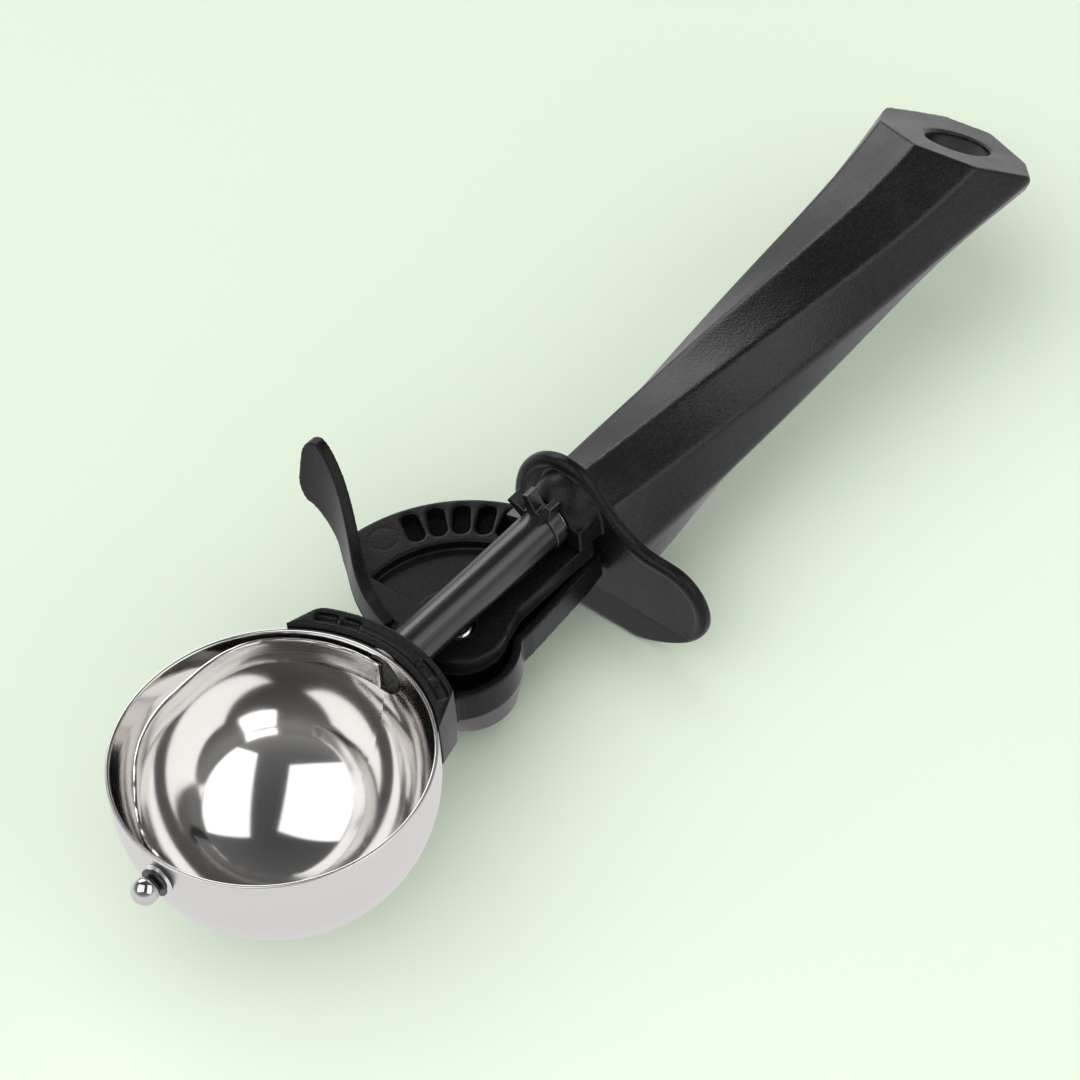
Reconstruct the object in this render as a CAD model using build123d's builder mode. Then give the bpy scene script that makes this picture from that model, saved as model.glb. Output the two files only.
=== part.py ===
from build123d import *
import os
from math import asin, atan, cos, degrees, radians, sin, sqrt

# Lever ice cream scoop. A thumb lever with slots turns a toothed spindle, and the spindle sweeps a
# steel strip round the inside of a steel bowl.
# Frame, in millimetres: the origin is the centre of the bowl's sphere, on the spindle axis.
# +X runs along the spindle to the grip, +Y is the thumb lever's side, +Z is out of the bowl's mouth.

# ---------------------------------------------------------------- driving dimensions
# Fits
running_clearance = 0.05
moving_gap = 0.4
seat_gap = 0.15
overrun = 1.0
round_share = 0.4

# Bowl: half a sphere with a straight lip above the spindle axis
bowl_radius = 28.0
bowl_wall = 0.8
lip_height = 4.8

# Wiper strip
wiper_gap = 0.3
wiper_thickness = 0.5
wiper_width = 6.0
wiper_tab_height = 5.0
wiper_tab_thickness = 0.6
wiper_tab_length = 6.6
wiper_rim_drop = 0.6

# Front pivot, a ball-headed pin
ball_radius = 2.45
ball_reach = 3.3
pin_radius = 1.3
pin_head_radius = 1.9
pin_head_height = 0.7
pin_head_lift = 0.1
cone_length = 1.3
cone_base_radius = 2.9
cone_tip_radius = 2.0
ring_thickness = 0.4
ring_radius = 2.7

# Spindle shaft
shaft_radius = 4.0
nose_inset = 0.2
shaft_room = 0.3
shaft_chamfer = 0.4
journal_radius = 2.5
pinion_seat_radius = 3.0
cross_pin_radius = 0.8
cross_pin_recess = 0.4
journal_end_gap = 1.0

# Pinion
pinion_length = 2.8
pinion_hub_radius = 4.4
tooth_tip_radius = 7.8
tooth_foot_radius = 3.5
tooth_root_width = 2.4
tooth_tip_width = 1.2
tooth_count = 6
window_pitch = 10.0
gear_ratio = 4.0

# Thumb lever
pivot_reach = 18.3
mesh_inset = 6.4
window_inset = 4.7
pocket_inset = 10.1
plate_radius = 29.9
plate_top = -4.9
plate_thickness = 3.7
lever_hub_radius = 8.6
window_count = 7
window_width = 3.1
window_length = 7.0
window_floor = 0.5
pocket_depth = 1.8
pocket_inner_radius = 9.2
pocket_end_angle = 92.0
pocket_start_angle = -6.0
plate_start_angle = -12.0
plate_end_angle = 84.0
plate_neck_radius = 11.2
plate_neck_angle = -32.0
blade_thickness = 2.2
blade_lean = 0.20
blade_foot_step = 0.3
blade_end_round = 1.0
blade_root_y = 8.0
blade_foot_y = 28.5
blade_top = 8.6
mark_radius = 2.8
mark_width = 0.35
mark_depth = 0.25
mark_angle = 73.0

# Lever pivot
pivot_radius = 2.0
pivot_head_radius = 2.7
pivot_head_height = 1.5
dome_share = 0.9
thrust_washer_radius = 4.0
thrust_washer_thickness = 0.5
push_nut_radius = 3.4
push_nut_thickness = 0.8

# Return spring
spring_wire_radius = 0.45
spring_coil_radius = 4.7
spring_turns = 4
spring_leg_radius = 0.5
spring_leg_offset = 1.0
spring_notch_depth = 0.8
spring_hole_depth = 1.4
spring_slot_margin = 9.0
lever_travel = 41.5

# Frame
collar_wall = 4.4
collar_top = 5.8
collar_start_angle = -50.0
collar_end_angle = 44.0
collar_rim = 1.1
collar_groove_depth = 0.5
collar_pocket_depth = 1.1
collar_groove_angles = (-31.0, 28.0)
collar_pockets = [(-31.0, -23.0), (-21.0, -13.0), (13.0, 19.0), (21.0, 28.0)]
tray_wall = 1.6
tray_floor = 1.8
tray_bottom = -15.0
tray_half_width = 8.6
tray_end_half_width = 7.4
tray_end_taper = 6.0
tray_end_step = 1.0
tray_corner = 5.0
boss_radius = 9.2
bulge_radius = 11.8
bulge_offset = 1.8
boss_wall = 1.6
boss_bottom = -23.0
cover_thickness = 1.2
cover_chamfer = 0.4
sleeve_radius = 3.6
sleeve_length = 5.0

# Weld studs that hold the bowl in the collar
stud_radius = 1.5
stud_angle = 21.0
stud_height = -3.5
stud_nut_radius = 3.0
stud_nut_thickness = 1.2
stud_nut_recess = 0.4
stud_tip = 0.8

# Guard
guard_gap = 1.0
guard_thickness = 2.6
guard_rim = 2.0
guard_dish = 0.5
guard_edge = 1.0
guard_foot = -28.0
nose_radius = 6.7
nose_tip_radius = 4.4
nose_bulge = 0.7
keeper_width = 3.7
keeper_outer = 6.6
keeper_top = 0.6
rear_bush_wall = 1.0
front_bush_wall = 0.65
front_bush_recess = 0.5

# Grip
grip_axis_start = -11.4
grip_slope = 0.108
grip_corner = 1.6
grip_end = 112.0
grip_end_rise = 1.5
grip_end_tilt = 34.0
end_corner_back = 7.2
end_corner_side = -11.0
end_corner_turns = (-29.7, -49.7)
cavity_width = 18.0
cavity_height = 13.0
cavity_corner = 4.0
cavity_length = 90.0
tang_width = 10.0
tang_height = 5.6
tang_length = 48.0
tang_pad_length = 5.0
tang_pad_shares = [0.02, 0.4, 0.87]
hanging_radius = 6.1
hanging_chamfer = 0.5
grip_screw_radius = 1.5
grip_screw_head_radius = 2.9
grip_screw_head_height = 1.8
grip_screw_length = 10.0
cross_slot_length = 3.4
cross_slot_width = 0.8
grip_screw_place = 22.3
grip_screw_seat = 7.9

# Stations of the grip: distance from the guard, corner radius, twist in degrees and flatness
grip_stations = [
    (-7.2, 13.5, -71.0, 0.85),
    (9.8, 12.9, -57.0, 0.85),
    (25.8, 12.5, -43.0, 0.85),
    (41.8, 12.5, -30.0, 0.84),
    (57.8, 12.9, -18.0, 0.80),
    (73.8, 13.6, -7.5, 0.75),
    (91.8, 14.9, -0.5, 0.71),
    (132.8, 16.2, 4.0, 0.69),
]

# Plan of the collar, whose ends taper to the bowl: distance from the bowl's outside along X, and Y
collar_reach = [(-13.0, -21.7), (8.0, -12.2), (8.0, 12.8), (-13.0, 19.7)]
collar_end_round = 3.4
collar_sides = [(-19.6, -3.5), (-19.6, 12.0), (17.7, 12.0), (17.7, -3.5)]
collar_foot_width = 18.0
collar_corner = 4.0

# Outline of the guard in (Y, Z), from its foot round the lever side and the top to the finger lobe
guard_outline = [
    (5.0, guard_foot),
    (12.6, -21.5),
    (14.4, -10.0),
    (12.3, 0.8),
    (7.4, 6.8),
    (1.5, 8.7),
    (-3.4, 7.0),
    (-7.6, 2.4),
    (-11.8, -2.0),
    (-16.7, -4.1),
    (-23.0, -4.6),
    (-27.8, -7.9),
    (-29.4, -14.5),
    (-23.2, -22.8),
    (-13.0, guard_foot),
]

# Middle line of the thumb blade in plan, from the lever's pivot, at the height of the plate's top
blade_plan = [
    (-7.3, 9.5),
    (-6.4, 13.3),
    (-4.3, 18.1),
    (-1.9, 22.0),
    (0.4, 25.0),
    (2.7, 28.3),
    (4.5, 31.6),
    (6.0, 36.0),
    (6.95, 44.4),
]

# Side outline of the thumb blade in (Y, Z) above the lever's underside
blade_shoulder = [(8.0, -4.0), (15.0, -3.4), (22.0, -2.4), (28.0, 0.4), (32.0, 3.8), (36.0, 7.0)]
blade_outer_end = [(40.2, blade_top), (42.5, 6.9), (43.4, 2.4), (43.3, -2.2), (41.6, -4.4)]
blade_lower_edge = [(38.5, -4.7), (35.0, -5.6), (31.5, -6.6)]

# ---------------------------------------------------------------- derived sizes
bowl_inner = bowl_radius - bowl_wall
wiper_outer = bowl_inner - wiper_gap
wiper_inner = wiper_outer - wiper_thickness
shaft_nose = bowl_inner - nose_inset
wiper_top_turn = asin((lip_height - wiper_rim_drop) / wiper_outer)
wiper_rest_angle = degrees(wiper_top_turn - asin(wiper_width / 2 / wiper_outer))
collar_inner = bowl_radius + seat_gap
collar_radius = bowl_radius + collar_wall
collar_plan = [(bowl_radius + x, y) for x, y in collar_reach]
shaft_hole_radius = shaft_radius + shaft_room
front_bush_radius = shaft_radius + running_clearance + front_bush_wall
rear_bush_radius = journal_radius + running_clearance + rear_bush_wall

pivot_x = bowl_radius + pivot_reach
mesh_radius = plate_radius - mesh_inset
window_radius = plate_radius - window_inset
pocket_outer_radius = plate_radius - pocket_inset
bulge_x = pivot_x - bulge_offset
blade_path = [(pivot_x + x, y) for x, y in blade_plan]
plate_bottom = plate_top - plate_thickness
pocket_floor = plate_top - pocket_depth
tray_top = plate_bottom - moving_gap
post_top = plate_bottom - thrust_washer_thickness
pinion_middle = pivot_x + mesh_radius
pinion_front = pinion_middle - pinion_length / 2
pinion_back = pinion_middle + pinion_length / 2
tooth_pitch = gear_ratio * window_pitch
tray_floor_top = tray_bottom + tray_floor
collar_bottom = tray_floor_top
chamber_top = tray_bottom
sleeve_bottom = chamber_top - sleeve_length
chamber_radius = boss_radius - boss_wall
cover_top = boss_bottom + cover_thickness
guard_front = pivot_x + plate_radius + guard_gap
guard_back = guard_front + guard_thickness
lever_clear_top = plate_top + moving_gap
nose_front = pinion_back + moving_gap
grip_tilt = atan(grip_slope)


def grip_centre(x):
    """Height of the grip's axis at a distance x from the bowl's centre."""
    return grip_axis_start + (x - guard_back) * grip_slope


def grip_plane(distance):
    """Plane across the grip, at a distance along X from the guard's back face."""
    x = guard_back + distance
    return Plane(origin=(x, 0, grip_centre(x)), x_dir=(0, 1, 0), z_dir=(cos(grip_tilt), 0, sin(grip_tilt)))


def screw_plane(depth):
    """Plane that faces down through the grip, at a depth below its axis."""
    centre = grip_plane(grip_screw_place).origin
    down = Vector(sin(grip_tilt), 0, -cos(grip_tilt))
    return Plane(origin=centre + down * depth, x_dir=(0, 1, 0), z_dir=down)


def octagon(radius, twist, flatness):
    """Corners of a flattened octagon turned by twist degrees."""
    corners = []
    for corner in range(8):
        angle = radians(twist + 45 * corner)
        corners.append((radius * cos(angle), flatness * radius * sin(angle)))
    return corners


def beside(path, distance):
    """Points at a distance to the left of each point of a path."""
    moved = []
    for index, (x, y) in enumerate(path):
        before = path[max(index - 1, 0)]
        after = path[min(index + 1, len(path) - 1)]
        run = (after[0] - before[0], after[1] - before[1])
        length = sqrt(run[0] ** 2 + run[1] ** 2)
        moved.append((x - run[1] / length * distance, y + run[0] / length * distance))
    return moved


def polar(radius, angle):
    """A point about the lever's pivot, in plan."""
    return (pivot_x + radius * cos(radians(angle)), radius * sin(radians(angle)))


def radial_plane(radius, angle, height):
    """A plane that faces away from the Z axis at a polar angle."""
    direction = (cos(radians(angle)), sin(radians(angle)), 0)
    origin = (radius * direction[0], radius * direction[1], height)
    return Plane(origin=origin, x_dir=(-direction[1], direction[0], 0), z_dir=direction)


def sector(inner, outer, start, end):
    """A ring sector about the origin of the sketch, between two angles."""
    middle = (start + end) / 2

    def point(radius, angle):
        return (radius * cos(radians(angle)), radius * sin(radians(angle)))

    with BuildSketch() as sketch:
        with BuildLine():
            ThreePointArc(point(outer, start), point(outer, middle), point(outer, end))
            Line(point(outer, end), point(inner, end))
            ThreePointArc(point(inner, end), point(inner, middle), point(inner, start))
            Line(point(inner, start), point(outer, start))
        make_face()
    return sketch.sketch


def bowl_envelope(clearance):
    """The bowl's outside as one solid, grown by a clearance."""
    radius = bowl_radius + clearance
    with BuildPart() as envelope:
        with BuildSketch(Plane.XZ):
            with BuildLine():
                CenterArc((0, 0), radius, -90, 90)
                Line((radius, 0), (radius, 2 * lip_height))
                Line((radius, 2 * lip_height), (0, 2 * lip_height))
                Line((0, 2 * lip_height), (0, -radius))
            make_face()
        revolve(axis=Axis.Z)
    return envelope.part


# The strip rests in a plane through the spindle axis, with its upper edge just under the rim
wiper_turn = radians(wiper_rest_angle)
wiper_side = Vector(0, cos(wiper_turn), sin(wiper_turn))
wiper_normal = Vector(0, -sin(wiper_turn), cos(wiper_turn))
wiper_plane = Plane(origin=(0, 0, 0), x_dir=(1, 0, 0), z_dir=wiper_side * -1)

# ---------------------------------------------------------------- bowl and its fixings
with BuildPart() as bowl:
    with BuildSketch(Plane.XZ):
        with BuildLine():
            CenterArc((0, 0), bowl_radius, -90, 90)
            Line((bowl_radius, 0), (bowl_radius, lip_height))
            Line((bowl_radius, lip_height), (bowl_inner, lip_height))
            Line((bowl_inner, lip_height), (bowl_inner, 0))
            CenterArc((0, 0), bowl_inner, 0, -90)
            Line((0, -bowl_inner), (0, -bowl_radius))
        make_face()
    revolve(axis=Axis.Z)
    fillet(bowl.edges().group_by(Axis.Z)[-1], bowl_wall * round_share)
    with BuildSketch(Plane.YZ.offset(-bowl_radius - bowl_wall)):
        Circle(pin_radius)
    extrude(amount=4 * bowl_wall, mode=Mode.SUBTRACT)
    with BuildSketch(Plane.YZ.offset(bowl_inner - 2 * bowl_wall)):
        Circle(shaft_hole_radius)
    extrude(amount=4 * bowl_wall, mode=Mode.SUBTRACT)
bowl.part.label = "bowl"

stud_start = sqrt(bowl_radius**2 - stud_height**2)
stud_seat = collar_radius - stud_nut_thickness - stud_nut_recess
with BuildPart() as bowl_studs:
    for side in (-stud_angle, stud_angle):
        with BuildSketch(radial_plane(stud_start - overrun, side, stud_height)):
            Circle(stud_radius)
        extrude(amount=collar_radius - stud_start + stud_tip)
    add(bowl_envelope(0), mode=Mode.SUBTRACT)
bowl_studs.part.label = "bowl_studs"

with BuildPart() as stud_nuts:
    for side in (-stud_angle, stud_angle):
        with BuildSketch(radial_plane(stud_seat, side, stud_height)):
            RegularPolygon(stud_nut_radius - seat_gap, 6)
            Circle(stud_radius, mode=Mode.SUBTRACT)
        extrude(amount=stud_nut_thickness)
stud_nuts.part.label = "stud_nuts"

# ---------------------------------------------------------------- wiper and spindle
with BuildPart() as wiper_blade:
    with BuildSketch(wiper_plane):
        Circle(wiper_outer)
        Circle(wiper_inner, mode=Mode.SUBTRACT)
        Rectangle(2 * wiper_outer, wiper_width, align=(Align.MIN, Align.CENTER), mode=Mode.INTERSECT)
    revolve(axis=Axis((0, 0, 0), wiper_normal), revolution_arc=180 + degrees(wiper_width / 2 / wiper_outer))
    with BuildSketch(wiper_plane):
        with Locations((wiper_inner, 0)):
            Rectangle(wiper_tab_length, wiper_tab_height, align=(Align.MIN, Align.CENTER))
    extrude(amount=-wiper_tab_thickness)
    fillet(
        wiper_blade.edges().filter_by(Axis((0, 0, 0), wiper_normal)).group_by(Axis.X)[-1],
        wiper_tab_thickness * round_share,
    )
    with BuildSketch(Plane.YZ.offset(-bowl_radius)):
        Circle(pin_radius + running_clearance)
    extrude(amount=4 * bowl_wall, mode=Mode.SUBTRACT)
    with BuildSketch(wiper_plane.offset(-2 * wiper_tab_thickness)):
        with Locations((shaft_nose + wiper_tab_length / 2, 0)):
            Circle(cross_pin_radius)
    extrude(amount=3 * wiper_tab_thickness, mode=Mode.SUBTRACT)
wiper_blade.part.label = "wiper_blade"

with BuildPart() as spindle_shaft:
    with BuildSketch(Plane.YZ.offset(shaft_nose)):
        Circle(shaft_radius)
    extrude(amount=pinion_front - shaft_nose)
    with BuildSketch(Plane.YZ.offset(pinion_front)):
        Circle(pinion_seat_radius)
    extrude(amount=pinion_length)
    with BuildSketch(Plane.YZ.offset(pinion_back)):
        Circle(journal_radius)
    extrude(amount=guard_back - pinion_back - journal_end_gap)
    chamfer(spindle_shaft.edges().filter_by(GeomType.CIRCLE).group_by(Axis.X)[0], shaft_chamfer)
    with BuildSketch(wiper_plane.offset(seat_gap / 2)):
        with Locations((0, 0)):
            Rectangle(wiper_inner + wiper_tab_length + seat_gap, wiper_tab_height + seat_gap,
                      align=(Align.MIN, Align.CENTER))
    extrude(amount=-wiper_tab_thickness - seat_gap, mode=Mode.SUBTRACT)
    with BuildSketch(wiper_plane.offset(-shaft_radius - overrun)):
        with Locations((shaft_nose + wiper_tab_length / 2, 0)):
            Circle(cross_pin_radius)
    extrude(amount=2 * (shaft_radius + overrun), mode=Mode.SUBTRACT)
spindle_shaft.part.label = "spindle_shaft"

with BuildPart() as wiper_cross_pin:
    with BuildSketch(wiper_plane.offset(cross_pin_recess - shaft_radius)):
        with Locations((shaft_nose + wiper_tab_length / 2, 0)):
            Circle(cross_pin_radius)
    extrude(amount=2 * (shaft_radius - cross_pin_recess))
wiper_cross_pin.part.label = "wiper_cross_pin"

with BuildPart() as pinion:
    with BuildSketch(Plane.YZ.offset(pinion_front)):
        Circle(pinion_hub_radius)
        toothed_turn = tooth_pitch * tooth_count
        with PolarLocations(0, tooth_count, start_angle=-90, angular_range=toothed_turn, endpoint=False):
            Polygon(
                (tooth_foot_radius, -tooth_root_width / 2),
                (tooth_tip_radius, -tooth_tip_width / 2),
                (tooth_tip_radius, tooth_tip_width / 2),
                (tooth_foot_radius, tooth_root_width / 2),
                align=None,
            )
        Circle(pinion_seat_radius, mode=Mode.SUBTRACT)
    extrude(amount=pinion_length)
pinion.part.label = "pinion"

# ---------------------------------------------------------------- front pivot
with BuildPart() as front_pivot_pin:
    with BuildSketch(Plane.YZ.offset(-bowl_radius - ball_reach)):
        Circle(pin_radius)
    extrude(amount=bowl_radius + ball_reach - wiper_inner + pin_head_lift)
    with Locations((-bowl_radius - ball_reach, 0, 0)):
        Sphere(ball_radius)
    with BuildSketch(Plane.YZ.offset(pin_head_lift - wiper_inner)):
        Circle(pin_head_radius)
    extrude(amount=pin_head_height)
    fillet(front_pivot_pin.edges().group_by(Axis.X)[-1], pin_head_height * round_share)
front_pivot_pin.part.label = "front_pivot_pin"

with BuildPart() as front_pivot_cone:
    with BuildSketch(Plane.XZ):
        Polygon(
            (-bowl_radius, pin_radius),
            (-bowl_radius, cone_base_radius),
            (-bowl_radius - cone_length + ring_thickness, cone_tip_radius),
            (-bowl_radius - cone_length + ring_thickness, pin_radius),
            align=None,
        )
    revolve(axis=Axis.X)
front_pivot_cone.part.label = "front_pivot_cone"

ball_seat_radius = sqrt(ball_radius**2 - (ball_reach - cone_length) ** 2)
with BuildPart() as front_pivot_washer:
    with BuildSketch(Plane.YZ.offset(-bowl_radius - cone_length)):
        Circle(ring_radius)
        Circle(ball_seat_radius, mode=Mode.SUBTRACT)
    extrude(amount=ring_thickness)
front_pivot_washer.part.label = "front_pivot_washer"

# ---------------------------------------------------------------- thumb lever
with BuildPart() as thumb_blade:
    with BuildSketch(Plane((blade_lean * (plate_bottom - plate_top), 0, plate_bottom))):
        with BuildLine():
            left = Spline(beside(blade_path, blade_thickness / 2))
            right = Spline(beside(blade_path, -blade_thickness / 2))
            Line(left @ 0, right @ 0)
            Line(left @ 1, right @ 1)
        make_face()
        fillet(vertices().sort_by(Axis.Y)[-2:], blade_end_round)
    extrude(amount=2 * blade_top - plate_bottom, dir=(blade_lean, 0, 1))
    with BuildSketch(Plane.YZ.offset(pivot_x - plate_radius)):
        with BuildLine():
            blade_bottom = plate_bottom + blade_foot_step
            Polyline((blade_root_y, blade_bottom), blade_shoulder[0], blade_shoulder[1])
            rise = Spline(blade_shoulder[1:] + blade_outer_end)
            Polyline(rise @ 1, *blade_lower_edge, (blade_foot_y, blade_bottom), (blade_root_y, blade_bottom))
        make_face()
    extrude(amount=2 * plate_radius, mode=Mode.INTERSECT)

with BuildPart() as lever:
    with BuildSketch(Plane.XY.offset(plate_bottom)):
        with BuildLine():
            plate_arc = ThreePointArc(
                polar(plate_radius, plate_start_angle),
                polar(plate_radius, (plate_start_angle + plate_end_angle) / 2),
                polar(plate_radius, plate_end_angle),
            )
            under_blade = [point for point in reversed(blade_path) if point[1] < plate_radius]
            Polyline(plate_arc @ 1, *under_blade, polar(lever_hub_radius, 180))
            Line(polar(lever_hub_radius, 180), polar(lever_hub_radius, 270))
            Line(polar(lever_hub_radius, 270), polar(plate_neck_radius, plate_neck_angle))
            Line(polar(plate_neck_radius, plate_neck_angle), plate_arc @ 0)
        make_face()
        with Locations((pivot_x, 0)):
            Circle(lever_hub_radius)
    extrude(amount=plate_thickness)
    with BuildSketch(Plane.XY.offset(pocket_floor)):
        with Locations((pivot_x, 0)):
            add(sector(pocket_inner_radius, pocket_outer_radius, pocket_start_angle, pocket_end_angle))
    extrude(amount=2 * pocket_depth, mode=Mode.SUBTRACT)
    with BuildSketch(Plane.XY.offset(plate_bottom + window_floor)):
        for window in range(window_count):
            turn = window_pitch * window
            with Locations(Location((*polar(window_radius, turn), 0), (0, 0, turn))):
                SlotOverall(window_length, window_width)
    extrude(amount=plate_thickness, mode=Mode.SUBTRACT)
    with BuildSketch(Plane.XY.offset(plate_top - mark_depth)):
        with Locations(polar(window_radius, mark_angle)):
            Circle(mark_radius)
            Circle(mark_radius - mark_width, mode=Mode.SUBTRACT)
    extrude(amount=2 * mark_depth, mode=Mode.SUBTRACT)
    with BuildSketch(Plane.XY.offset(pocket_floor)):
        with Locations((pivot_x, 0)):
            Circle(pivot_head_radius + moving_gap)
    extrude(amount=2 * pocket_depth, mode=Mode.SUBTRACT)
    with BuildSketch(Plane.XY.offset(plate_bottom)):
        with Locations((pivot_x, 0)):
            Circle(pivot_radius + running_clearance)
    extrude(amount=plate_thickness, mode=Mode.SUBTRACT)
    with BuildSketch(Plane.XY.offset(plate_bottom)):
        with Locations((pivot_x + spring_coil_radius, spring_leg_offset)):
            Circle(spring_leg_radius + seat_gap)
    extrude(amount=spring_hole_depth, mode=Mode.SUBTRACT)
    add(thumb_blade.part)
lever.part.label = "lever"

# ---------------------------------------------------------------- lever pivot and return spring
pivot_end = sleeve_bottom - push_nut_thickness - moving_gap
with BuildPart() as lever_pivot_pin:
    with BuildSketch(Plane.XY.offset(pivot_end)):
        with Locations((pivot_x, 0)):
            Circle(pivot_radius)
    extrude(amount=pocket_floor - pivot_end)
    with BuildSketch(Plane.XY.offset(pocket_floor)):
        with Locations((pivot_x, 0)):
            Circle(pivot_head_radius)
    extrude(amount=pivot_head_height)
    fillet(lever_pivot_pin.edges().group_by(Axis.Z)[-1], pivot_head_height * dome_share)
lever_pivot_pin.part.label = "lever_pivot_pin"

with BuildPart() as thrust_washer:
    with BuildSketch(Plane.XY.offset(post_top)):
        with Locations((pivot_x, 0)):
            Circle(thrust_washer_radius)
            Circle(pivot_radius + running_clearance, mode=Mode.SUBTRACT)
    extrude(amount=thrust_washer_thickness)
thrust_washer.part.label = "thrust_washer"

with BuildPart() as push_nut:
    with BuildSketch(Plane.XY.offset(sleeve_bottom - push_nut_thickness)):
        with Locations((pivot_x, 0)):
            Circle(push_nut_radius)
            Circle(pivot_radius, mode=Mode.SUBTRACT)
    extrude(amount=push_nut_thickness)
push_nut.part.label = "push_nut"

spring_bottom = cover_top + 2 * spring_wire_radius + seat_gap
spring_top = chamber_top - spring_wire_radius - 2 * seat_gap
spring_height = spring_top - spring_bottom
spring_pitch = spring_height / spring_turns
spring_tail = sqrt(chamber_radius**2 - spring_coil_radius**2) + spring_notch_depth
with BuildPart() as return_spring:
    with BuildLine():
        coil = Helix(spring_pitch, spring_height, spring_coil_radius, center=(pivot_x, 0, spring_bottom))
    with BuildSketch(Plane(coil @ 0, z_dir=coil % 0)):
        Circle(spring_wire_radius)
    sweep(path=coil, is_frenet=True)
    # The lower end runs straight out into the housing's wall
    with BuildSketch(Plane(coil @ 0, z_dir=(coil % 0) * -1)):
        Circle(spring_wire_radius)
    extrude(amount=spring_tail - seat_gap)
    # The upper end runs out a little, and stands up into the lever
    with BuildSketch(Plane(coil @ 1, z_dir=coil % 1)):
        Circle(spring_wire_radius)
    extrude(amount=spring_leg_offset)
    with BuildSketch(Plane.XY.offset(spring_top - spring_leg_radius)):
        with Locations((pivot_x + spring_coil_radius, spring_leg_offset)):
            Circle(spring_leg_radius)
    extrude(amount=plate_bottom + spring_hole_depth - moving_gap - spring_top + spring_leg_radius)
return_spring.part.label = "return_spring"

with BuildPart() as spring_cover:
    with BuildSketch(Plane.XY.offset(boss_bottom)):
        with Locations((pivot_x, 0)):
            Circle(chamber_radius)
    extrude(amount=cover_thickness)
    chamfer(spring_cover.edges().group_by(Axis.Z)[0], cover_chamfer)
spring_cover.part.label = "spring_cover"

# ---------------------------------------------------------------- bushes
with BuildPart() as front_bush:
    with BuildSketch(Plane.YZ.offset(collar_inner)):
        Circle(front_bush_radius)
        Circle(shaft_radius + running_clearance, mode=Mode.SUBTRACT)
    extrude(amount=collar_radius - collar_inner - front_bush_recess)
front_bush.part.label = "front_bush"

with BuildPart() as rear_bush:
    with BuildSketch(Plane.YZ.offset(nose_front)):
        Circle(rear_bush_radius)
        Circle(journal_radius + running_clearance, mode=Mode.SUBTRACT)
    extrude(amount=guard_back - nose_front - journal_end_gap)
rear_bush.part.label = "rear_bush"

# ---------------------------------------------------------------- frame
collar_turn = radians(collar_start_angle)
collar_plane = Plane(
    origin=(0, 0, 0),
    x_dir=(cos(collar_turn), sin(collar_turn), 0),
    z_dir=(sin(collar_turn), -cos(collar_turn), 0),
)
collar_inner_foot = sqrt(collar_inner**2 - collar_bottom**2)
collar_outer_foot = sqrt(collar_radius**2 - collar_bottom**2)
tray_outline = [
    (collar_inner_foot, -tray_end_half_width),
    (pivot_x - boss_radius, -tray_half_width),
    (pivot_x + boss_radius, -tray_half_width),
    (guard_front - tray_end_taper, -tray_end_half_width),
    (guard_front, tray_end_step - tray_end_half_width),
]
tray_corners = tray_outline + [(x, -y) for x, y in reversed(tray_outline)]
collar_foot = [(collar_foot_width / 2, collar_bottom), (-collar_foot_width / 2, collar_bottom)]
leg_place = sqrt(spring_coil_radius**2 + spring_leg_offset**2)
leg_angle = degrees(atan(spring_leg_offset / spring_coil_radius))
leg_room = spring_leg_radius + seat_gap
spring_slot = sector(
    leg_place - leg_room,
    leg_place + leg_room,
    leg_angle - lever_travel - spring_slot_margin,
    leg_angle + spring_slot_margin,
)
with BuildPart() as collar:
    with BuildSketch(collar_plane):
        with BuildLine():
            RadiusArc((collar_outer_foot, collar_bottom), (collar_radius, 0), -collar_radius)
            Line((collar_radius, 0), (collar_radius, collar_top))
            Line((collar_radius, collar_top), (collar_inner, collar_top))
            Line((collar_inner, collar_top), (collar_inner, 0))
            RadiusArc((collar_inner, 0), (collar_inner_foot, collar_bottom), collar_inner)
            Line((collar_inner_foot, collar_bottom), (collar_outer_foot, collar_bottom))
        make_face()
    revolve(axis=Axis.Z, revolution_arc=collar_end_angle - collar_start_angle)
    with BuildSketch(Plane.XY.offset(2 * collar_bottom)):
        Polygon(*collar_plan, align=None)
        Circle(collar_radius, mode=Mode.INTERSECT)
        fillet(vertices().group_by(Axis.X)[-1], collar_end_round)
    extrude(amount=-4 * collar_bottom, mode=Mode.INTERSECT)
    with BuildSketch(Plane.YZ):
        Polygon(*collar_sides, *collar_foot, align=None)
        fillet(vertices().group_by(Axis.Y)[0] + vertices().group_by(Axis.Y)[-1], collar_corner)
    extrude(amount=2 * collar_radius, mode=Mode.INTERSECT)

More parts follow.
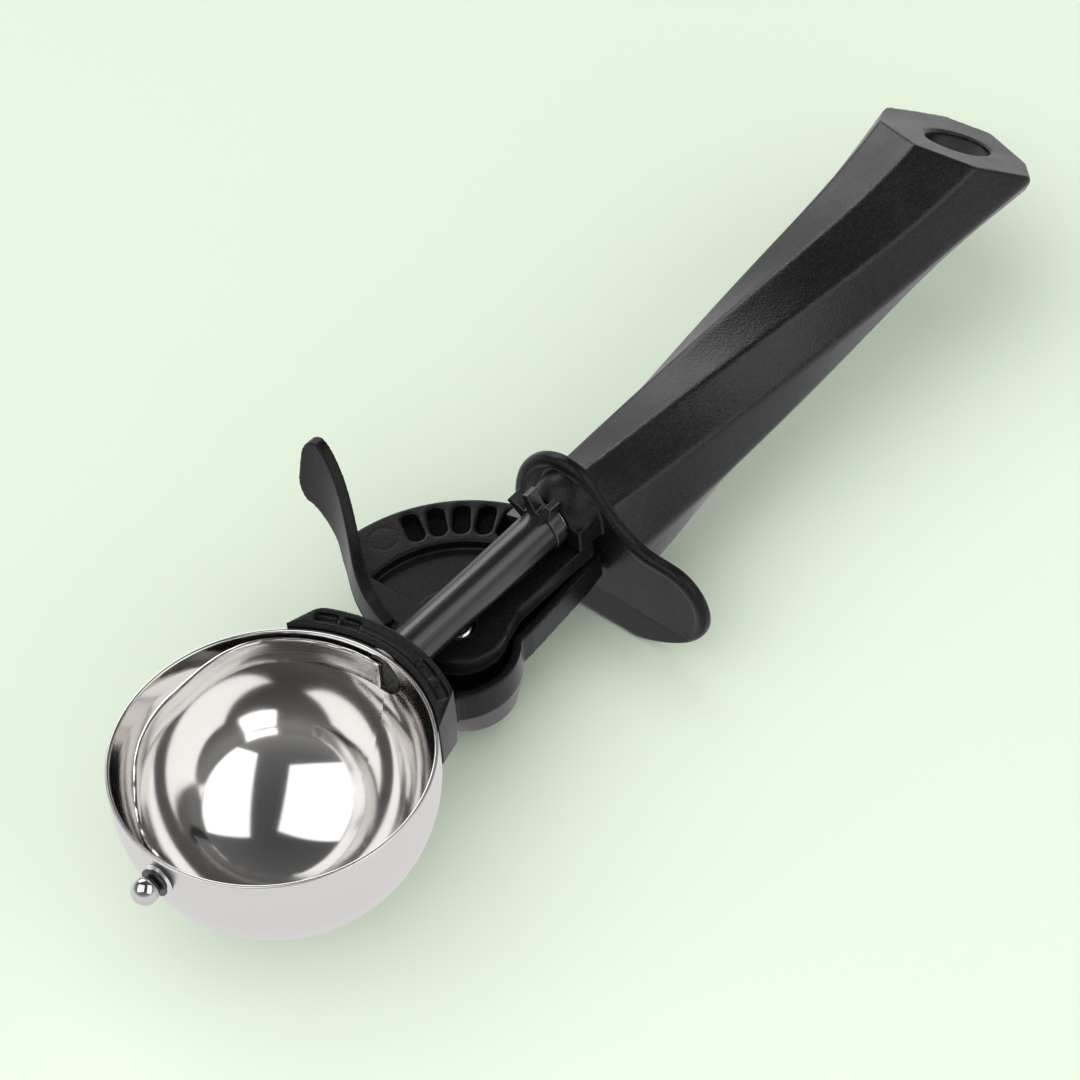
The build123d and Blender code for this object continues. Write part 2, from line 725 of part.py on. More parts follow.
with BuildPart() as frame:
    # Tray under the lever
    with BuildSketch(Plane.XY.offset(tray_bottom)):
        with BuildLine():
            Polyline(*tray_corners, close=True)
        make_face()
        fillet(vertices().sort_by(Axis.X)[2:-2], tray_corner)
        with Locations((bulge_x, 0)):
            Circle(bulge_radius)
    extrude(amount=tray_top - tray_bottom)
    with BuildSketch(Plane.XY.offset(tray_floor_top)):
        with BuildLine():
            Polyline(*tray_corners, close=True)
        make_face()
        fillet(vertices().sort_by(Axis.X)[2:-2], tray_corner)
        with Locations((bulge_x, 0)):
            Circle(bulge_radius)
        offset(amount=-tray_wall, mode=Mode.REPLACE)
    extrude(amount=tray_top - tray_bottom, mode=Mode.SUBTRACT)
    # Spring housing under the tray, with the post and sleeve for the lever's pin
    with BuildSketch(Plane.XY.offset(boss_bottom)):
        with Locations((pivot_x, 0)):
            Circle(boss_radius)
    with BuildSketch(Plane.XY.offset(tray_bottom)):
        with Locations((bulge_x, 0)):
            Circle(bulge_radius)
    loft()
    with BuildSketch(Plane.XY.offset(boss_bottom)):
        with Locations((pivot_x, 0)):
            Circle(chamber_radius)
    extrude(amount=chamber_top - boss_bottom, mode=Mode.SUBTRACT)
    with BuildSketch(Plane.XY.offset(sleeve_bottom)):
        with Locations((pivot_x, 0)):
            Circle(sleeve_radius)
    extrude(amount=post_top - sleeve_bottom)
    # Collar that hugs the back of the bowl
    add(collar.part)
    add(bowl_envelope(seat_gap), mode=Mode.SUBTRACT)
    # Groove and pockets in the collar's top
    groove = sector(collar_inner + collar_rim, collar_radius - collar_rim, *collar_groove_angles)
    with BuildSketch(Plane.XY.offset(collar_top - collar_groove_depth)):
        add(groove)
    extrude(amount=collar_groove_depth, mode=Mode.SUBTRACT)
    with BuildSketch(Plane.XY.offset(collar_top - collar_pocket_depth)):
        for start, end in collar_pockets:
            add(sector(collar_inner + collar_rim, collar_radius - collar_rim, start, end))
    extrude(amount=collar_pocket_depth, mode=Mode.SUBTRACT)
    # Holes for the front bush, the studs and their nuts
    with BuildSketch(Plane.YZ.offset(collar_inner - overrun)):
        Circle(front_bush_radius)
    extrude(amount=collar_radius - collar_inner + 2 * overrun, mode=Mode.SUBTRACT)
    for side in (-stud_angle, stud_angle):
        with BuildSketch(radial_plane(collar_inner / 2, side, stud_height)):
            Circle(stud_radius + seat_gap)
        extrude(amount=collar_radius, mode=Mode.SUBTRACT)
        with BuildSketch(radial_plane(stud_seat, side, stud_height)):
            Circle(stud_nut_radius)
        extrude(amount=collar_radius, mode=Mode.SUBTRACT)
    # Tang with its pads, along the grip's axis
    with BuildSketch(grip_plane(guard_front - tray_wall - guard_back)):
        Rectangle(tang_width, tang_height)
    extrude(amount=tang_length)
    for share in tang_pad_shares:
        with BuildSketch(grip_plane(share * tang_length)):
            RectangleRounded(cavity_width - 2 * seat_gap, cavity_height - 2 * seat_gap, cavity_corner)
        extrude(amount=tang_pad_length)
    # Bore for the lever's pin, slot for the spring's upper leg and notch for its lower leg
    with BuildSketch(Plane.XY.offset(sleeve_bottom)):
        with Locations((pivot_x, 0)):
            Circle(pivot_radius + running_clearance)
    extrude(amount=post_top - sleeve_bottom, mode=Mode.SUBTRACT)
    with BuildSketch(Plane.XY.offset(chamber_top)):
        with Locations((pivot_x, 0)):
            add(spring_slot)
    extrude(amount=tray_floor, mode=Mode.SUBTRACT)
    with BuildSketch(Plane(coil @ 0, z_dir=(coil % 0) * -1)):
        Circle(spring_wire_radius + seat_gap)
    extrude(amount=spring_tail, mode=Mode.SUBTRACT)
    # Pilot hole for the grip's screw
    with BuildSketch(screw_plane(grip_screw_seat - grip_screw_length)):
        Circle(grip_screw_radius)
    extrude(amount=grip_screw_length, mode=Mode.SUBTRACT)
frame.part.label = "frame"

# ---------------------------------------------------------------- guard
# Rear bearing nose and keeper, both above the lever's plate
nose_back = guard_front + guard_thickness / 2
with BuildPart() as nose:
    with BuildSketch(Plane.XZ):
        with BuildLine():
            tip = Line((nose_front, 0), (nose_front, nose_tip_radius))
            middle = ((nose_front + guard_front) / 2, (nose_tip_radius + nose_radius) / 2 + nose_bulge)
            dome = ThreePointArc(tip @ 1, middle, (guard_front, nose_radius))
            Polyline(dome @ 1, (nose_back, nose_radius), (nose_back, 0), tip @ 0)
        make_face()
    revolve(axis=Axis.X)
    with BuildSketch(Plane.YZ.offset(nose_front)):
        with Locations((-keeper_outer, lever_clear_top)):
            Rectangle(keeper_width, keeper_top - lever_clear_top, align=Align.MIN)
    extrude(amount=nose_back - nose_front)
    with BuildSketch(Plane.YZ.offset(nose_front)):
        with Locations((0, lever_clear_top)):
            Rectangle(4 * nose_radius, 2 * nose_radius, align=(Align.CENTER, Align.MIN))
    extrude(amount=nose_back - nose_front, mode=Mode.INTERSECT)

with BuildPart() as guard:
    with BuildSketch(Plane.YZ.offset(guard_front)):
        with BuildLine():
            rim = Spline(guard_outline)
            Line(rim @ 1, rim @ 0)
        make_face()
    extrude(amount=guard_thickness)
    fillet(guard.edges().group_by(Axis.X)[0], guard_edge)
    fillet(guard.edges().group_by(Axis.X)[-1], guard_edge)
    with BuildSketch(Plane.YZ.offset(guard_front)):
        with BuildLine():
            dish = Spline(beside(guard_outline, guard_rim)[1:-1])
            Line(dish @ 1, dish @ 0)
        make_face()
    extrude(amount=guard_dish, mode=Mode.SUBTRACT)
    add(nose.part)
    with BuildSketch(Plane.YZ.offset(nose_front)):
        Circle(rear_bush_radius)
    extrude(amount=guard_back - nose_front - journal_end_gap, mode=Mode.SUBTRACT)
    with BuildSketch(grip_plane(-2 * guard_thickness)):
        Rectangle(tang_width + 2 * seat_gap, tang_height + 2 * seat_gap)
    extrude(amount=4 * guard_thickness, mode=Mode.SUBTRACT)
guard.part.label = "guard"

# ---------------------------------------------------------------- grip
grip_end_x = guard_back + grip_end
end_tilt = radians(grip_end_tilt)
end_plane = Plane(
    origin=(grip_end_x, 0, grip_end_rise), x_dir=(0, 1, 0), z_dir=(sin(end_tilt), 0, cos(end_tilt))
)
end_corner = (grip_end_x + end_corner_back, end_corner_side, 0)
with BuildPart() as grip:
    for distance, radius, twist, flatness in grip_stations:
        with BuildSketch(grip_plane(distance)):
            Polygon(*octagon(radius, twist, flatness), align=None)
            fillet(vertices(), grip_corner)
    loft()
    split(bisect_by=Plane.YZ.offset(guard_back), keep=Keep.TOP)
    split(bisect_by=end_plane, keep=Keep.BOTTOM)
    for turn in end_corner_turns:
        across = (cos(radians(turn)), sin(radians(turn)), 0)
        split(bisect_by=Plane(origin=end_corner, x_dir=(0, 0, 1), z_dir=across), keep=Keep.BOTTOM)
    with BuildSketch(grip_plane(-2 * overrun)):
        RectangleRounded(cavity_width, cavity_height, cavity_corner)
    extrude(amount=cavity_length, mode=Mode.SUBTRACT)
    with BuildSketch(Plane.XY.offset(guard_foot)):
        with Locations((grip_end_x, 0)):
            Circle(hanging_radius)
    extrude(amount=-2 * guard_foot, mode=Mode.SUBTRACT)
    end_edges = grip.faces().filter_by(Axis(end_plane.origin, end_plane.z_dir)).sort_by(Axis.X)[-1].edges()
    chamfer(end_edges.filter_by(GeomType.ELLIPSE), hanging_chamfer)
    # Counterbored hole for the screw
    with BuildSketch(screw_plane(0)):
        Circle(grip_screw_radius + seat_gap)
    extrude(amount=2 * grip_screw_length, mode=Mode.SUBTRACT)
    with BuildSketch(screw_plane(grip_screw_seat)):
        Circle(grip_screw_head_radius + seat_gap)
    extrude(amount=grip_screw_length, mode=Mode.SUBTRACT)
grip.part.label = "grip"

with BuildPart() as grip_screw:
    with BuildSketch(screw_plane(grip_screw_seat - grip_screw_length)):
        Circle(grip_screw_radius)
    extrude(amount=grip_screw_length)
    with BuildSketch(screw_plane(grip_screw_seat)):
        Circle(grip_screw_head_radius)
    extrude(amount=grip_screw_head_height)
    with BuildSketch(screw_plane(grip_screw_seat + grip_screw_head_height)):
        Rectangle(cross_slot_length, cross_slot_width)
        Rectangle(cross_slot_width, cross_slot_length)
    extrude(amount=-grip_screw_head_height / 2, mode=Mode.SUBTRACT)
grip_screw.part.label = "grip_screw"

pieces = [
    bowl, bowl_studs, stud_nuts, wiper_blade, spindle_shaft, wiper_cross_pin, pinion,
    front_pivot_pin, front_pivot_cone, front_pivot_washer, lever, lever_pivot_pin,
    thrust_washer, push_nut, return_spring, spring_cover, front_bush, rear_bush, frame, guard, grip,
    grip_screw,
]
os.makedirs("parts", exist_ok=True)
for piece in pieces:
    export_step(piece.part, f"parts/{piece.part.label}.step")
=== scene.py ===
import math

import bpy
from mathutils import Matrix, Vector


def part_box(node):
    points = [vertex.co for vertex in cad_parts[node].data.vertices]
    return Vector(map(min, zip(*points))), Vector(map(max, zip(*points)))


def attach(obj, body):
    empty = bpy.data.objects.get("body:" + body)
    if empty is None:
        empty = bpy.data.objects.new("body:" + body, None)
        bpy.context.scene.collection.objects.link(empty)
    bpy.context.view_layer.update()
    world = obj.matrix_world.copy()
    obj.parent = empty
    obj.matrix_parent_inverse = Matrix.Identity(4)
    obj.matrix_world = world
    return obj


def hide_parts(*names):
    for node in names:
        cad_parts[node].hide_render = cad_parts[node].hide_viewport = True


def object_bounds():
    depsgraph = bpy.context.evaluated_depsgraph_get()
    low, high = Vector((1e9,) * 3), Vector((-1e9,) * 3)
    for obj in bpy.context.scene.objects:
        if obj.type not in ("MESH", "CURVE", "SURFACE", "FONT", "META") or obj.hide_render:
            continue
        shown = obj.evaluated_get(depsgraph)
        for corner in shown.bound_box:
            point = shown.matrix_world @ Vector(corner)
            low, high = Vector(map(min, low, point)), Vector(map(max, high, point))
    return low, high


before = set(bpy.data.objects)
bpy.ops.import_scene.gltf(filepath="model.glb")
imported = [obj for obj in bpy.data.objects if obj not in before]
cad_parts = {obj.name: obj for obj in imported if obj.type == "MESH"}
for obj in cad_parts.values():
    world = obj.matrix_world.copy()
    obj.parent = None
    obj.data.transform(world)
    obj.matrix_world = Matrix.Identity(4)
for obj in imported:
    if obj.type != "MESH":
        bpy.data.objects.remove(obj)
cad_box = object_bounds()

# The camera: the directions of its axes, its place in metres, its lens and sensor in millimetres
CAMERA_RIGHT = Vector((0.6453, -0.7608, -0.0686))
CAMERA_UP = Vector((0.5922, 0.4415, 0.6741))
CAMERA_BACK = Vector((-0.4826, -0.4756, 0.7354))
CAMERA_PLACE = Vector((-0.27131, -0.33486, 0.51535))
CAMERA_LENS = 133.33
CAMERA_SENSOR = 36
NEAREST_SEEN = 0.01
FARTHEST_SEEN = 20

# The floor lies just under the object's lowest point
FLOOR_GAP = 0.0001
FLOOR_HEIGHT = cad_box[0].z - FLOOR_GAP
FLOOR_SIZE = 6

# The point that every light faces, and how far from it the lights stand
LIT_POINT = Vector((0.06, 0.0, -0.01))
SOFTBOX_DISTANCE = 1.2
FILL_DISTANCE = 1.5
CEILING_DISTANCE = 1.9

# The studio's grey by height, from straight down at 0, past the horizon at 0.5, to straight up at 1
STUDIO_GREYS = ((0.0, 0.80), (0.45, 0.90), (0.52, 0.74), (0.62, 0.34), (0.80, 0.14), (1.0, 0.07))

# Colours: the shares of red, green and blue light that come back
PAPER_GREEN = (0.80, 0.905, 0.745)
PAPER_PALE_GREEN = (0.81, 0.915, 0.757)
POLISHED_STEEL = (0.80, 0.785, 0.77)
TURNED_STEEL = (0.82, 0.81, 0.80)
CHROME = (0.66, 0.655, 0.65)
ZINC = (0.62, 0.62, 0.63)
DARK_STEEL = (0.10, 0.10, 0.10)
BLACK = (0.003, 0.003, 0.003)
WORN_BLACK = (0.016, 0.016, 0.016)
SHAFT_BLACK = (0.005, 0.005, 0.005)
NYLON_WHITE = (0.75, 0.74, 0.70)

# The surfaces of the mouldings, with the grain's size and depth in metres
GRIP_SURFACE = {"roughness": 0.33, "gloss": 0.5, "grain_size": 0.0005, "grain_depth": 0.00014}
FINE_SURFACE = {"roughness": 0.32, "gloss": 0.22, "grain_size": 0.0004, "grain_depth": 0.00008}
NYLON_SURFACE = {"roughness": 0.45, "gloss": 0.5, "grain_size": 0.0006, "grain_depth": 0.00001}

# The range that most of a noise texture's values fall in
NOISE_LOW = 0.3
NOISE_HIGH = 0.7

# A Mix node's sockets for its first value, its second value and its result, for numbers and for colours
MIX_SOCKETS = {"FLOAT": (2, 3, 0), "RGBA": (6, 7, 2)}

# The scales of a grain on each axis, per metre: level lines, no lines, and lines along the shaft
LEVEL_GRAIN = (60, 60, 1400)
EVEN_GRAIN = (300, 300, 300)
SHAFT_GRAIN = (40, 1500, 1500)

# The bowl's spun rings: the metres that a radian round the bowl counts for, and their share in the
# mirror's roughness beside its smears
RING_TURN = 0.006
RING_SHARE = 0.2

# The middle of the bowl's wall parts the mirror inside from the satin outside
BOWL_WALL = 0.0008
BOWL_MIDDLE_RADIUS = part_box("bowl")[1].x - BOWL_WALL / 2

# The lever's windows are glossy down to one height and dull from another down to their floor
LEVER_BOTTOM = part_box("lever")[0].z
WINDOW_GLOSSY_HEIGHT = LEVER_BOTTOM + 0.0014
WINDOW_DULL_HEIGHT = LEVER_BOTTOM + 0.0008

# The guard's front face, the depth of the dish in it, and the heights between which the dish runs out
GUARD_THICKNESS = 0.0026
GUARD_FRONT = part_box("guard")[1].x - GUARD_THICKNESS
GUARD_DISH = 0.0005
GUARD_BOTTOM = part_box("guard")[0].z
DISH_FADE_TOP = GUARD_BOTTOM + 0.0080
DISH_FADE_BOTTOM = GUARD_BOTTOM + 0.0015

# How far the slack wiper stands off the bowl, and where, as turns in degrees round the bowl's upright
# axis: 0 is at the spindle, 90 at the lever's side and 180 at the front pin
WIPER_SLACK = 0.0034
SLACK_START = 45
SLACK_FULL = 90
SLACK_FADE = 135
SLACK_END = 185

# The wiper's eased edges, and the distance within which its doubled mesh points are joined
WIPER_EDGE = 0.00014
WIPER_EDGE_STEPS = 2
WELD_DISTANCE = 0.000001

# How far each round of smoothing moves a moulding's points towards their neighbours
MOULD_SMOOTHING = 0.5


# ---------------------------------------------------------------- camera, lights and studio
def make_camera():
    data = bpy.data.cameras.new("camera")
    data.lens = CAMERA_LENS
    data.sensor_width = CAMERA_SENSOR
    data.clip_start = NEAREST_SEEN
    data.clip_end = FARTHEST_SEEN
    camera = bpy.data.objects.new("camera", data)
    axes = Matrix((CAMERA_RIGHT, CAMERA_UP, CAMERA_BACK)).transposed()
    camera.matrix_world = Matrix.Translation(CAMERA_PLACE) @ axes.to_4x4()
    bpy.context.collection.objects.link(camera)
    bpy.context.scene.camera = camera


def make_light(name, direction, across, distance, size, radiance, glossy=True, diffuse=True):
    """A rectangular light that faces the lit point, with its width along across. The camera never sees
    it, glossy says whether reflections show it, and diffuse whether it lights matt surfaces."""
    width, height = size
    data = bpy.data.lights.new(name, "AREA")
    data.shape = "RECTANGLE"
    data.size = width
    data.size_y = height
    data.energy = radiance * math.pi * width * height
    light = bpy.data.objects.new(name, data)
    back = Vector(direction).normalized()
    right = (Vector(across) - back * back.dot(Vector(across))).normalized()
    axes = Matrix((right, back.cross(right), back)).transposed()
    light.matrix_world = Matrix.Translation(LIT_POINT + back * distance) @ axes.to_4x4()
    light.visible_camera = False
    light.visible_glossy = glossy
    light.visible_diffuse = diffuse
    bpy.context.collection.objects.link(light)


def make_softbox(name, direction, across, size, radiance):
    """A light that only shows in reflections."""
    make_light(name, direction, across, SOFTBOX_DISTANCE, size, radiance, diffuse=False)


def make_fill(name, direction, across, distance, size, radiance):
    """A light that only brightens matt surfaces."""
    make_light(name, direction, across, distance, size, radiance, glossy=False)


def make_world():
    """A studio that is pale below the horizon and dark overhead."""
    world = bpy.data.worlds.new("studio")
    world.use_nodes = True
    bpy.context.scene.world = world
    nodes = world.node_tree.nodes
    link = world.node_tree.links.new
    place = nodes.new("ShaderNodeTexCoord")
    split = nodes.new("ShaderNodeSeparateXYZ")
    height = nodes.new("ShaderNodeMapRange")
    height.inputs["From Min"].default_value = -1.0
    height.inputs["From Max"].default_value = 1.0
    ramp = nodes.new("ShaderNodeValToRGB")
    link(place.outputs["Generated"], split.inputs["Vector"])
    link(split.outputs["Z"], height.inputs["Value"])
    link(height.outputs["Result"], ramp.inputs["Fac"])
    link(ramp.outputs["Color"], nodes["Background"].inputs["Color"])
    stops = ramp.color_ramp.elements
    while len(stops) < len(STUDIO_GREYS):
        stops.new(0.5)
    for stop, (position, grey) in zip(stops, STUDIO_GREYS):
        stop.position = position
        stop.color = (grey, grey, grey, 1)


def make_floor():
    bpy.ops.mesh.primitive_grid_add(
        x_subdivisions=2, y_subdivisions=2, size=FLOOR_SIZE, location=(0, 0, FLOOR_HEIGHT)
    )
    floor = bpy.context.object
    floor.name = "floor"
    coat(floor, floor_paper())
    floor.visible_glossy = False


# ---------------------------------------------------------------- material helpers
class Finish:
    """A material's node tree, with short names for what its recipes add."""

    def __init__(self, name, colour, roughness, metallic=0.0, gloss=0.5):
        self.material = bpy.data.materials.new(name)
        self.material.use_nodes = True
        self.tree = self.material.node_tree
        self.shader = self.tree.nodes["Principled BSDF"]
        self.set("Base Color", (*colour, 1))
        self.set("Roughness", roughness)
        self.set("Metallic", metallic)
        self.set("Specular IOR Level", gloss)
        self.place = self.node("ShaderNodeTexCoord").outputs["Object"]
        self.normal = None

    def node(self, kind, **settings):
        made = self.tree.nodes.new(kind)
        for key, value in settings.items():
            setattr(made, key, value)
        return made

    def feed(self, socket, value):
        """Links a node's output to a socket, or sets a plain value on it."""
        if isinstance(value, bpy.types.NodeSocket):
            self.tree.links.new(value, socket)
        else:
            socket.default_value = value

    def set(self, name, value):
        """Feeds one of the shader's own sockets."""
        self.feed(self.shader.inputs[name], value)

    def math(self, operation, first, second):
        node = self.node("ShaderNodeMath", operation=operation)
        self.feed(node.inputs[0], first)
        self.feed(node.inputs[1], second)
        return node.outputs["Value"]

    def mix(self, kind, factor, first, second):
        """Two numbers or two colours, mixed by a factor that changes over the surface."""
        node = self.node("ShaderNodeMix", data_type=kind)
        first_socket, second_socket, result = MIX_SOCKETS[kind]
        self.feed(node.inputs["Factor"], factor)
        self.feed(node.inputs[first_socket], first)
        self.feed(node.inputs[second_socket], second)
        return node.outputs[result]

    def split(self):
        """The object's X, Y and Z coordinates, each by itself."""
        node = self.node("ShaderNodeSeparateXYZ")
        self.feed(node.inputs["Vector"], self.place)
        return node.outputs["X"], node.outputs["Y"], node.outputs["Z"]

    def join(self, x, y, z):
        node = self.node("ShaderNodeCombineXYZ")
        for socket, value in zip(node.inputs, (x, y, z)):
            self.feed(socket, value)
        return node.outputs["Vector"]

    def stretched(self, scale):
        """The object's coordinates, stretched by a scale on each axis."""
        node = self.node("ShaderNodeMapping")
        self.feed(node.inputs["Scale"], scale)
        self.feed(node.inputs["Vector"], self.place)
        return node.outputs["Vector"]

    def noise(self, scale, detail, where=None, roughness=0.5):
        node = self.node("ShaderNodeTexNoise")
        self.feed(node.inputs["Scale"], scale)
        self.feed(node.inputs["Detail"], detail)
        self.feed(node.inputs["Roughness"], roughness)
        self.feed(node.inputs["Vector"], where or self.place)
        return node.outputs["Fac"]

    def spread(self, value, low, high, source_low=NOISE_LOW, source_high=NOISE_HIGH):
        """A value mapped from its own range to another, and held within that."""
        node = self.node("ShaderNodeMapRange")
        self.feed(node.inputs["Value"], value)
        self.feed(node.inputs["From Min"], source_low)
        self.feed(node.inputs["From Max"], source_high)
        self.feed(node.inputs["To Min"], low)
        self.feed(node.inputs["To Max"], high)
        return node.outputs["Result"]

    def bump(self, height, strength, distance):
        """Bumps on top of those that are there already."""
        node = self.node("ShaderNodeBump")
        self.feed(node.inputs["Strength"], strength)
        self.feed(node.inputs["Distance"], distance)
        self.feed(node.inputs["Height"], height)
        if self.normal:
            self.feed(node.inputs["Normal"], self.normal)
        self.normal = node.outputs["Normal"]
        self.set("Normal", self.normal)


# ---------------------------------------------------------------- materials
def bowl_steel():
    """Mirror polish inside, with smears and faint spun rings, and satin outside."""
    finish = Finish("bowl_steel", POLISHED_STEEL, roughness=0.1, metallic=1.0)
    x, y, z = finish.split()
    # Where the lip stands straight above the half sphere, only the distance to the axis counts
    reach = finish.node("ShaderNodeVectorMath", operation="LENGTH")
    finish.feed(reach.inputs[0], finish.join(x, y, finish.math("MINIMUM", z, 0.0)))
    outside = finish.math("GREATER_THAN", reach.outputs["Value"], BOWL_MIDDLE_RADIUS)
    # A turn counts for little in these coordinates, so the noise runs out into rings round the Z axis
    turn = finish.math("MULTIPLY", finish.math("ARCTAN2", y, x), RING_TURN)
    rings = finish.noise(scale=900, detail=1.0, where=finish.join(turn, 0.0, z))
    smears = finish.noise(scale=90, detail=4.0)
    ringed = finish.math("ADD", smears, finish.math("MULTIPLY", rings, RING_SHARE))
    mirror = finish.spread(ringed, low=0.05, high=0.10)
    satin = finish.spread(smears, low=0.27, high=0.31)
    finish.set("Roughness", finish.mix("FLOAT", outside, mirror, satin))
    waves = finish.noise(scale=26, detail=1.0)
    finish.bump(waves, strength=0.02, distance=0.002)
    return finish.material


def bright_steel(name, roughness, colour, grain=LEVEL_GRAIN):
    """Small metal pieces with a fine grain."""
    finish = Finish(name, colour, roughness, metallic=1.0)
    lines = finish.noise(scale=1.0, detail=2.0, where=finish.stretched(grain))
    finish.set("Roughness", finish.spread(lines, low=roughness * 0.7, high=roughness * 1.5))
    finish.bump(lines, strength=0.03, distance=0.00003)
    return finish.material


def moulding(name, colour, roughness, gloss, grain_size, grain_depth, worn_colour=None, windows=False):
    """Moulded plastic with a fine grain and an uneven sheen. A worn colour shows on rubbed edges and on
    the grain's peaks. With windows, the plastic is dull at the floor of the lever's windows."""
    finish = Finish(name, colour, roughness, gloss=gloss)
    smears = finish.noise(scale=120, detail=4.0)
    cloud = finish.noise(scale=35, detail=3.0)
    uneven = finish.math("MULTIPLY", finish.math("ADD", smears, cloud), 0.5)
    sheen = finish.spread(uneven, low=roughness - 0.07, high=roughness + 0.09)
    if windows:
        _, _, height = finish.split()
        depth = finish.spread(height, 0.0, 1.0, WINDOW_GLOSSY_HEIGHT, WINDOW_DULL_HEIGHT)
        sheen = finish.math("MAXIMUM", sheen, depth)
    finish.set("Roughness", sheen)
    grain = finish.noise(scale=1 / grain_size, detail=2.0, roughness=0.6)
    if worn_colour:
        pointed = finish.node("ShaderNodeNewGeometry").outputs["Pointiness"]
        edges = finish.spread(pointed, low=0.0, high=1.0, source_low=0.53, source_high=0.62)
        patches = finish.spread(cloud, low=0.2, high=1.0)
        peaks = finish.spread(grain, low=0.0, high=0.5, source_low=0.45, source_high=0.65)
        worn = finish.math("MAXIMUM", finish.math("MULTIPLY", edges, patches), peaks)
        finish.set("Base Color", finish.mix("RGBA", worn, (*colour, 1), (*worn_colour, 1)))
    finish.bump(grain, strength=0.5, distance=grain_depth)
    return finish.material


def shaft_black():
    """A black shaft with fine lines along it."""
    finish = Finish("shaft_black", SHAFT_BLACK, roughness=0.28, gloss=1.0)
    lines = finish.noise(scale=1.0, detail=3.0, where=finish.stretched(SHAFT_GRAIN))
    finish.set("Roughness", finish.spread(lines, low=0.22, high=0.38))
    finish.bump(lines, strength=0.10, distance=0.00005)
    waves = finish.noise(scale=60, detail=2.0)
    finish.bump(waves, strength=0.03, distance=0.001)
    return finish.material


def floor_paper():
    """Pale green paper with a faint tooth."""
    finish = Finish("floor_paper", PAPER_GREEN, roughness=0.95, gloss=0.05)
    cloud = finish.spread(finish.noise(scale=4, detail=2.0), low=0.0, high=1.0)
    finish.set("Base Color", finish.mix("RGBA", cloud, (*PAPER_GREEN, 1), (*PAPER_PALE_GREEN, 1)))
    tooth = finish.noise(scale=1800, detail=2.0)
    finish.bump(tooth, strength=0.1, distance=0.00005)
    return finish.material


# ---------------------------------------------------------------- piece helpers
def coat(thing, material):
    thing.data.materials.clear()
    thing.data.materials.append(material)


def copied(node, name):
    """A piece of its own with a copy of a node's mesh."""
    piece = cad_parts[node].copy()
    piece.data = piece.data.copy()
    piece.name = name
    bpy.context.collection.objects.link(piece)
    return piece


def applied(piece):
    """Applies a piece's modifiers to its mesh and shades it smooth."""
    graph = bpy.context.evaluated_depsgraph_get()
    made = bpy.data.meshes.new_from_object(piece.evaluated_get(graph))
    piece.modifiers.clear()
    piece.data = made
    made.polygons.foreach_set("use_smooth", [True] * len(made.polygons))


def eased_step(value, start, end):
    """0 up to the start, 1 from the end on, and a smooth rise between them."""
    share = min(max((value - start) / (end - start), 0), 1)
    return share * share * (3 - 2 * share)


def bent_inward(piece):
    """Bends the wiper off the bowl on the lever's side, where it has gone slack."""
    for vertex in piece.data.vertices:
        place = vertex.co
        turn = math.degrees(math.atan2(place.y, place.x)) % 360
        slack = eased_step(turn, SLACK_START, SLACK_FULL) * (1 - eased_step(turn, SLACK_FADE, SLACK_END))
        place.xy *= 1 - WIPER_SLACK * slack / math.hypot(place.x, place.y)


def slack_wiper(material):
    """The wiper strip with eased edges and its slack on the lever's side."""
    piece = copied("wiper_blade", "wiper_strip")
    weld = piece.modifiers.new("weld", "WELD")
    weld.merge_threshold = WELD_DISTANCE
    bevel = piece.modifiers.new("bevel", "BEVEL")
    bevel.width = WIPER_EDGE
    bevel.segments = WIPER_EDGE_STEPS
    bevel.harden_normals = True
    applied(piece)
    bent_inward(piece)
    coat(piece, material)
    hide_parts("wiper_blade")
    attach(piece, "spindle")


def softened(node, material, body, voxel, rounds, keep):
    """A copy of a node with its edges rounded as a mould leaves them: remeshed in voxels, smoothed in
    rounds, and thinned to the share of its faces to keep."""
    piece = copied(node, node + "_moulded")
    remesh = piece.modifiers.new("remesh", "REMESH")
    remesh.mode = "VOXEL"
    remesh.voxel_size = voxel
    smooth = piece.modifiers.new("smooth", "SMOOTH")
    smooth.factor = MOULD_SMOOTHING
    smooth.iterations = rounds
    thin = piece.modifiers.new("thin", "DECIMATE")
    thin.ratio = keep
    applied(piece)
    coat(piece, material)
    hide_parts(node)
    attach(piece, body)
    return piece


def eased_foot(piece):
    """Runs the guard's dish out to its foot, instead of ending it in a step."""
    dish_floor = GUARD_FRONT + GUARD_DISH
    for vertex in piece.data.vertices:
        faded = (DISH_FADE_TOP - vertex.co.z) / (DISH_FADE_TOP - DISH_FADE_BOTTOM)
        if faded > 0 and vertex.co.x < dish_floor:
            vertex.co.x = max(vertex.co.x, dish_floor - GUARD_DISH * faded)


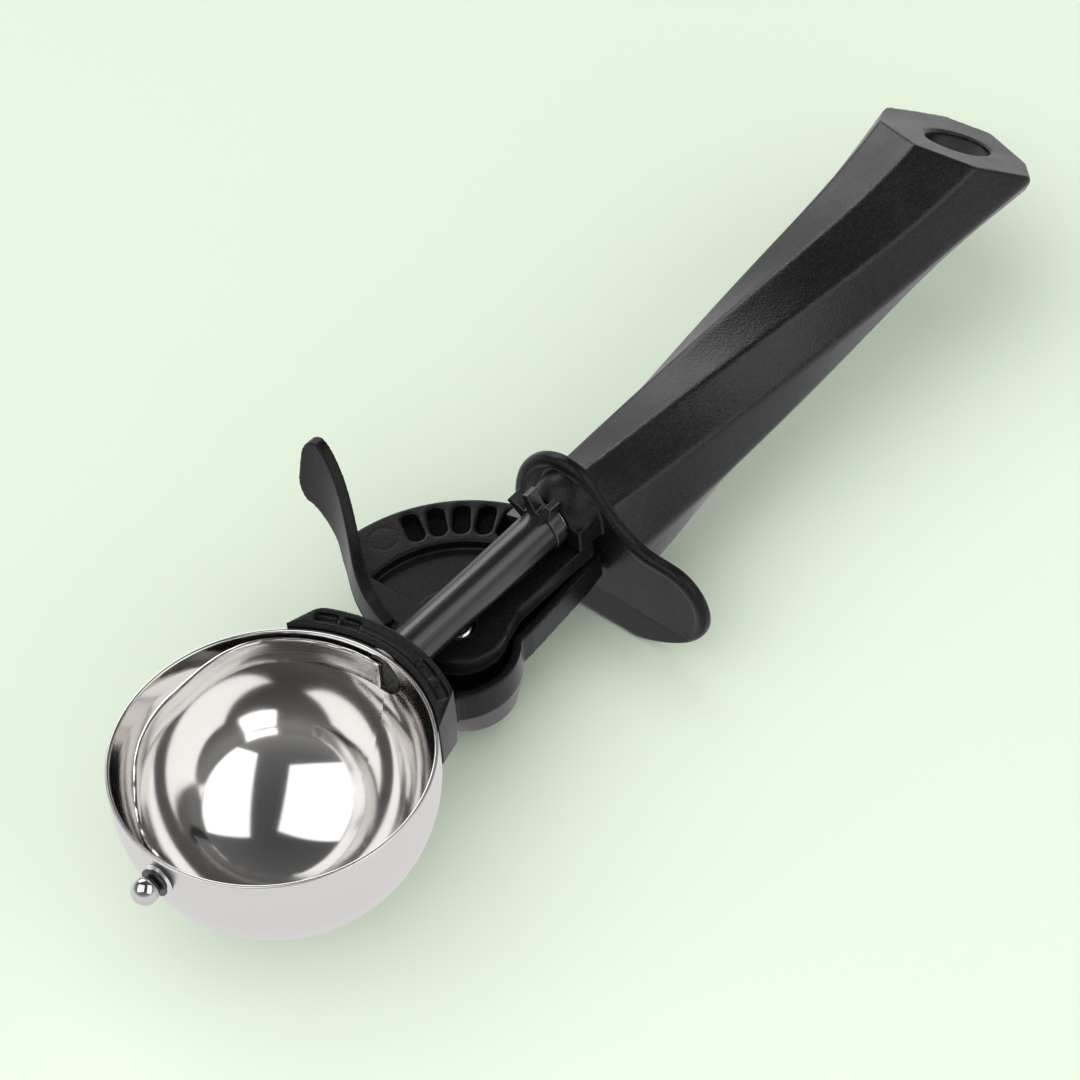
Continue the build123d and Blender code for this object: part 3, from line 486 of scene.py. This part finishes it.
# ---------------------------------------------------------------- the scene
# Colours are shown as they are, with no film curve
bpy.context.scene.view_settings.view_transform = "Standard"
make_camera()
make_world()
make_softbox("softbox_right", (0.17, -0.70, 0.69), (0.74, 0.6, 0.3), size=(1.5, 0.80), radiance=1.3)
make_softbox("softbox_left", (-0.486, 0.191, 0.853), (0.31, -0.87, 0.38), size=(1.2, 1.2), radiance=1.3)
make_softbox("softbox_back", (0.40, 0.74, 0.52), (-0.8, 0.5, 0), size=(0.8, 0.50), radiance=2.8)
make_fill("ceiling", (-0.22, 0.16, 0.96), (1, 0, 0), CEILING_DISTANCE, size=(3.8, 3.8), radiance=1.22)
make_fill("fill_right", (0.25, -0.88, 0.40), (1, 0, 0), FILL_DISTANCE, size=(2.2, 1.5), radiance=1.05)
make_fill("fill_front", (-0.75, -0.52, 0.40), (0, 1, 0), FILL_DISTANCE, size=(2.2, 1.5), radiance=1.05)
make_floor()

grip_black = moulding("grip_black", BLACK, **GRIP_SURFACE, worn_colour=WORN_BLACK)
moulding_black = moulding("moulding_black", BLACK, **FINE_SURFACE, worn_colour=WORN_BLACK)
lever_black = moulding("lever_black", BLACK, **FINE_SURFACE, worn_colour=WORN_BLACK, windows=True)
nylon = moulding("white_nylon", NYLON_WHITE, **NYLON_SURFACE)
lined_black = shaft_black()
steel = bright_steel("bright_steel", 0.17, TURNED_STEEL)
chrome = bright_steel("ball_chrome", 0.05, CHROME, grain=EVEN_GRAIN)
zinc = bright_steel("zinc_steel", 0.30, ZINC)
dark_steel = bright_steel("dark_steel", 0.30, DARK_STEEL)

coat(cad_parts["bowl"], bowl_steel())
for node, material in (
    ("front_pivot_pin", chrome), ("front_pivot_cone", steel), ("front_pivot_washer", dark_steel),
    ("lever_pivot_pin", chrome), ("spindle_shaft", lined_black), ("wiper_cross_pin", zinc),
    ("bowl_studs", zinc), ("stud_nuts", zinc), ("thrust_washer", nylon), ("push_nut", zinc),
    ("return_spring", zinc), ("spring_cover", moulding_black), ("front_bush", nylon),
    ("rear_bush", nylon), ("grip_screw", zinc),
):
    coat(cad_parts[node], material)

slack_wiper(steel)
softened("lever", lever_black, "lever", voxel=0.00022, rounds=6, keep=0.35)
softened("frame", moulding_black, "root", voxel=0.00026, rounds=5, keep=0.35)
eased_foot(softened("guard", moulding_black, "root", voxel=0.00024, rounds=8, keep=0.3))
softened("pinion", lined_black, "spindle", voxel=0.00015, rounds=5, keep=0.35)
softened("grip", grip_black, "root", voxel=0.00034, rounds=9, keep=0.3)
